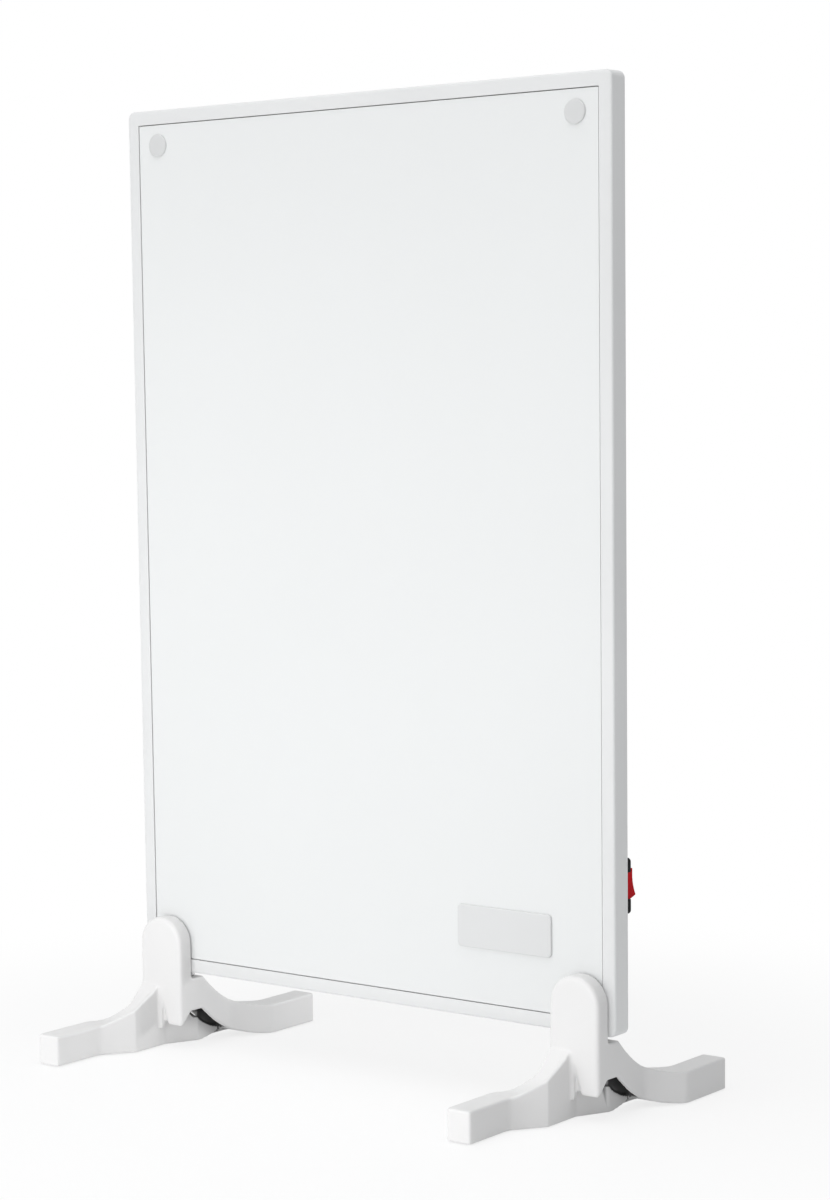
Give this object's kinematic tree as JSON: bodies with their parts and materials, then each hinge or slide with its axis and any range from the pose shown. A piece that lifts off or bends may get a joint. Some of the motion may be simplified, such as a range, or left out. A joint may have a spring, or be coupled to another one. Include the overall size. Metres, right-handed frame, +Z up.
{
  "type": "panel heater",
  "caption": "Slim white electric panel heater standing on two moulded feet, with a rear rocker switch",
  "frame": {"origin": "on the floor, under the middle of the panel", "axes": "+Z up, -Y towards someone facing the heater, +X to their right"},
  "size_m": [0.426, 0.21, 0.654],
  "materials": {
    "white_board": "fine matt powder-like face",
    "white_moulding": "satin moulding",
    "foot_moulding": "satin moulding",
    "coated_steel": "matt powder coat",
    "zinc_steel": "zinc plated",
    "brass": "plain",
    "bright_foil": "bright",
    "track_alloy": "etched foil",
    "mica_board": "pressed",
    "mineral_wool": "fibrous",
    "black_moulding": "semi gloss",
    "red_moulding": "gloss",
    "white_ceramic": "unglazed",
    "black_rubber": "matt",
    "brown_lead": "sleeved wire",
    "blue_lead": "sleeved wire"
  },
  "bodies": {
    "heater": {"back_cover": "coated_steel", "blank_plate": "white_moulding", "carrier_sheet": "mica_board", "cord_inlet": "black_moulding", "cover_screw_1": "zinc_steel", "cover_screw_2": "zinc_steel", "cover_screw_3": "zinc_steel", "cover_screw_4": "zinc_steel", "cover_screw_5": "zinc_steel", "cover_screw_6": "zinc_steel", "cover_screw_7": "zinc_steel", "cover_screw_8": "zinc_steel", "fixing_cap_left": "white_moulding", "fixing_cap_right": "white_moulding", "fixing_sleeve_left": "zinc_steel", "fixing_sleeve_right": "zinc_steel", "front_board": "white_board", "front_frame": "white_moulding", "heating_track": "track_alloy", "insulation_blanket": "mineral_wool", "lead_switch_feed": "brown_lead", "lead_switch_load": "brown_lead", "lead_track_live": "brown_lead", "lead_track_neutral": "blue_lead", "left_foot": "foot_moulding", "left_foot_pad_front": "black_rubber", "left_foot_pad_rear": "black_rubber", "left_foot_screw_inner": "zinc_steel", "left_foot_screw_outer": "zinc_steel", "left_slot_cushion": "black_rubber", "reflector_foil": "bright_foil", "right_foot": "foot_moulding", "right_foot_pad_front": "black_rubber", "right_foot_pad_rear": "black_rubber", "right_foot_screw_inner": "zinc_steel", "right_foot_screw_outer": "zinc_steel", "right_slot_cushion": "black_rubber", "switch_contact": "brass", "switch_housing": "black_moulding", "switch_spade_lower": "brass", "switch_spade_upper": "brass", "terminal_block": "white_ceramic", "terminal_pole_live": "brass", "terminal_pole_neutral": "brass", "thermal_cutout": "black_moulding"},
    "rocker": {"switch_rocker": "red_moulding"}
  },
  "joints": [
    {"name": "rocker_hinge", "type": "hinge", "parent": "heater", "child": "rocker", "pos_m": [0.191, 0.0116, 0.1483], "axis": [-1, 0, 0], "range_deg": [0, 23]}
  ]
}
